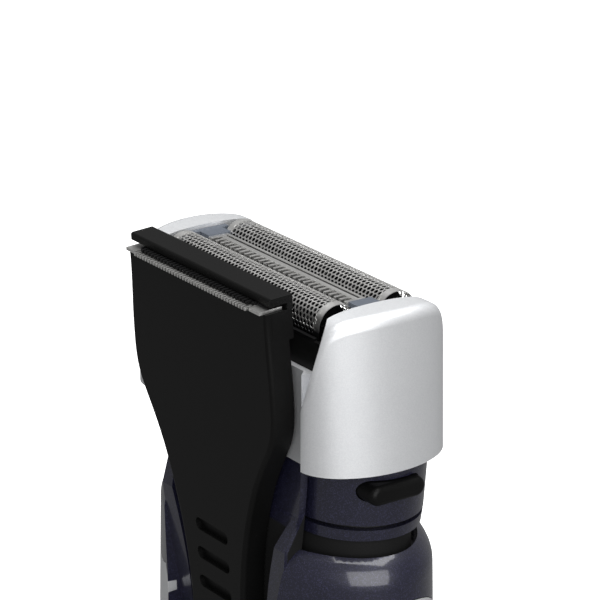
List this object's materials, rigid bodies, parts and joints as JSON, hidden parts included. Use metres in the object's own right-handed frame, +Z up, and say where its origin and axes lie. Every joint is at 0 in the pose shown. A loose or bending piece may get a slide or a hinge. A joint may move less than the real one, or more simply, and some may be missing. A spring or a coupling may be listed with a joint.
{
  "type": "electric shaver",
  "caption": "Cordless foil shaver with a tipping, removable head, floating foils, side release buttons, a pop-up long-hair trimmer and a flat base.",
  "frame": {"origin": "centre of the handle's flat rest face, in line with the head's centre", "axes": "+Z up the handle to the foils, X along the foils, -Y towards the trimmer, +Y towards the power button"},
  "size_m": [0.0564, 0.0341, 0.1523],
  "materials": {
    "navy_shell": "metallic flake lacquer",
    "silver_shell": "satin silver lacquer",
    "black_trim": "satin",
    "dark_seal": "matt",
    "slate_plastic": "satin",
    "foil_steel": "bright nickel",
    "blade_steel": "ground",
    "pale_plastic": "plain",
    "spring_steel": "drawn",
    "motor_steel": "zinc plated",
    "cell_jacket": "film jacket",
    "board": "solder mask",
    "lens": "clear",
    "pin_brass": "plated"
  },
  "bodies": {
    "handle": {"front_housing": "navy_shell", "rear_housing": "navy_shell", "left_side_panel": "silver_shell", "right_side_panel": "silver_shell", "trimmer_track": "navy_shell", "base_cap": "black_trim", "base_screws": "spring_steel", "charging_socket": "black_trim", "socket_pins": "pin_brass", "battery_cradle": "pale_plastic", "battery_cells": "cell_jacket", "battery_contacts": "pin_brass", "circuit_board": "board", "light_lens": "lens", "motor_can": "motor_steel", "pivot_carrier": "black_trim"},
    "power_button": {"power_button": "silver_shell"},
    "rotor": {"motor_shaft": "spring_steel", "eccentric_hub": "pale_plastic", "eccentric_pin": "spring_steel"},
    "neck": {"neck_collar": "navy_shell", "neck_sleeve": "dark_seal", "neck_ring": "navy_shell", "neck_chassis": "black_trim", "pivot_pins": "spring_steel", "guide_rods": "spring_steel", "drive_seal": "dark_seal"},
    "bridge": {"drive_bridge": "pale_plastic", "front_cutter_spring": "spring_steel", "rear_cutter_spring": "spring_steel"},
    "front_cutter": {"front_cutter_core": "slate_plastic", "front_cutter_blades": "blade_steel"},
    "rear_cutter": {"rear_cutter_core": "slate_plastic", "rear_cutter_blades": "blade_steel"},
    "right_release": {"right_release_button": "black_trim"},
    "left_release": {"left_release_button": "black_trim"},
    "head": {"head_frame": "silver_shell", "foil_cassette": "black_trim", "cassette_strips": "foil_steel"},
    "front_foil": {"front_foil": "foil_steel"},
    "rear_foil": {"rear_foil": "foil_steel"},
    "middle_trimmer": {"middle_comb": "blade_steel", "middle_end_blocks": "slate_plastic"},
    "middle_blade": {"middle_blade": "blade_steel"},
    "trimmer": {"trimmer_slider": "black_trim", "trimmer_cap": "black_trim", "trimmer_comb": "blade_steel"},
    "trimmer_blade": {"trimmer_blade": "blade_steel"}
  },
  "joints": [
    {"name": "head_tip", "type": "hinge", "parent": "handle", "child": "neck", "pos_m": [0, 0.001, 0.108], "axis": [-1, 0, 0], "range_deg": [0, 6], "stiffness_Nm_per_rad": 0.25, "springref_deg": -6.88},
    {"name": "head_lift", "type": "slide", "parent": "neck", "child": "head", "axis": [0, 0, 1], "range_m": [0, 0.03]},
    {"name": "front_foil_float", "type": "slide", "parent": "head", "child": "front_foil", "axis": [0, 0, -1], "range_m": [0, 0.0012], "stiffness_N_per_m": 60, "springref_m": -0.002},
    {"name": "rear_foil_float", "type": "slide", "parent": "head", "child": "rear_foil", "axis": [0, 0, -1], "range_m": [0, 0.0012], "stiffness_N_per_m": 60, "springref_m": -0.002},
    {"name": "middle_trimmer_float", "type": "slide", "parent": "head", "child": "middle_trimmer", "axis": [0, 0, -1], "range_m": [0, 0.0005], "stiffness_N_per_m": 60, "springref_m": -0.002},
    {"name": "cutter_stroke", "type": "slide", "parent": "neck", "child": "bridge", "axis": [1, 0, 0], "range_m": [-0.0009, 0.0009]},
    {"name": "front_cutter_float", "type": "slide", "parent": "bridge", "child": "front_cutter", "axis": [0, 0, -1], "range_m": [0, 0.0012], "deforming": ["front_cutter_spring"]},
    {"name": "rear_cutter_float", "type": "slide", "parent": "bridge", "child": "rear_cutter", "axis": [0, 0, -1], "range_m": [0, 0.0012], "deforming": ["rear_cutter_spring"]},
    {"name": "middle_blade_stroke", "type": "slide", "parent": "middle_trimmer", "child": "middle_blade", "axis": [1, 0, 0], "range_m": [-0.0009, 0.0009]},
    {"name": "rotor_spin", "type": "hinge", "parent": "handle", "child": "rotor", "pos_m": [0, 0.001, 0.103], "axis": [0, 0, 1], "continuous": true},
    {"name": "right_release_press", "type": "slide", "parent": "neck", "child": "right_release", "axis": [-1, 0, 0], "range_m": [0, 0.0015], "stiffness_N_per_m": 60, "springref_m": -0.002},
    {"name": "left_release_press", "type": "slide", "parent": "neck", "child": "left_release", "axis": [1, 0, 0], "range_m": [0, 0.0015], "stiffness_N_per_m": 60, "springref_m": -0.002},
    {"name": "power_press", "type": "slide", "parent": "handle", "child": "power_button", "axis": [0, -1, 0], "range_m": [0, 0.0008], "stiffness_N_per_m": 60, "springref_m": -0.002},
    {"name": "trimmer_slide", "type": "slide", "parent": "handle", "child": "trimmer", "axis": [0, -0.0622, 0.9981], "range_m": [-0.009, 0]},
    {"name": "trimmer_blade_stroke", "type": "slide", "parent": "trimmer", "child": "trimmer_blade", "axis": [1, 0, 0], "range_m": [-0.0009, 0.0009]}
  ],
  "couplings": [
    {"joint": "front_cutter_float", "follows": "front_foil_float", "ratio": 1},
    {"joint": "rear_cutter_float", "follows": "rear_foil_float", "ratio": 1},
    {"joint": "middle_blade_stroke", "follows": "cutter_stroke", "ratio": 1},
    {"joint": "trimmer_blade_stroke", "follows": "cutter_stroke", "ratio": 1}
  ]
}
